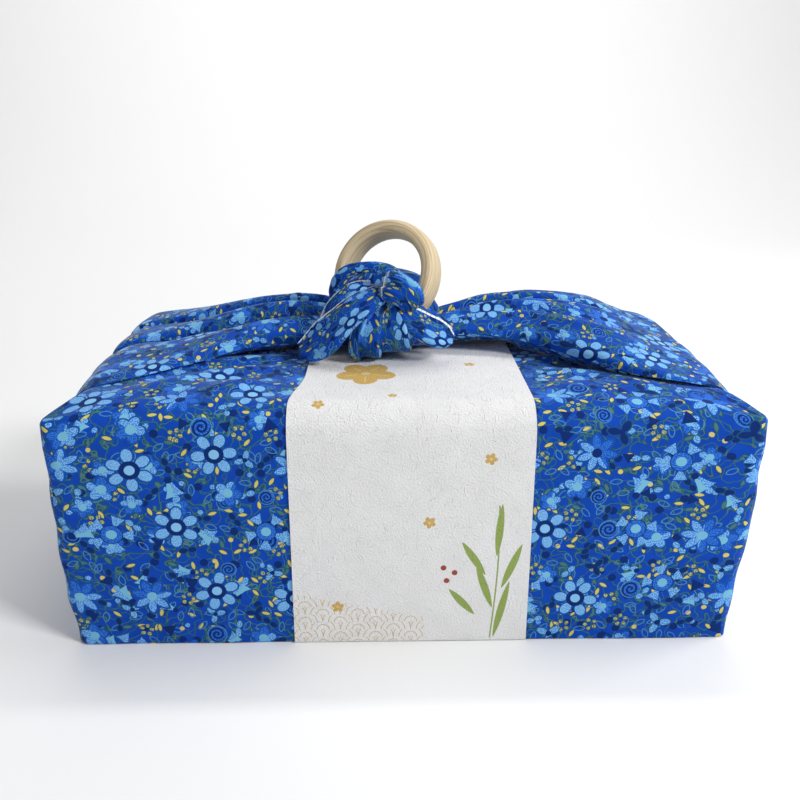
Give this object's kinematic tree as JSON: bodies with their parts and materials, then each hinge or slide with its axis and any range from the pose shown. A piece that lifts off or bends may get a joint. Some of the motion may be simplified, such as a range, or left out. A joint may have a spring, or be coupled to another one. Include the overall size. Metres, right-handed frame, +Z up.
{
  "type": "furoshiki wrap on a gift box",
  "caption": "Gift box wrapped in a printed cotton furoshiki cloth, its corners knotted through a wooden ring on top, with a paper band round the middle.",
  "frame": {"origin": "centre of the underside of the wrapped parcel", "axes": "+X along the width from wing to wing, +Y towards the back, +Z up"},
  "size_m": [0.3134, 0.1826, 0.1787],
  "materials": {
    "cloth": "matt printed cotton, royal blue with small flowers",
    "ring": "pale natural wood, sanded and unvarnished",
    "band": "white washi paper with raised fibres",
    "box": "plain grey board"
  },
  "bodies": {
    "root": {"cloth": "cloth", "ring": "ring", "band": "band", "box": "box"}
  },
  "joints": []
}
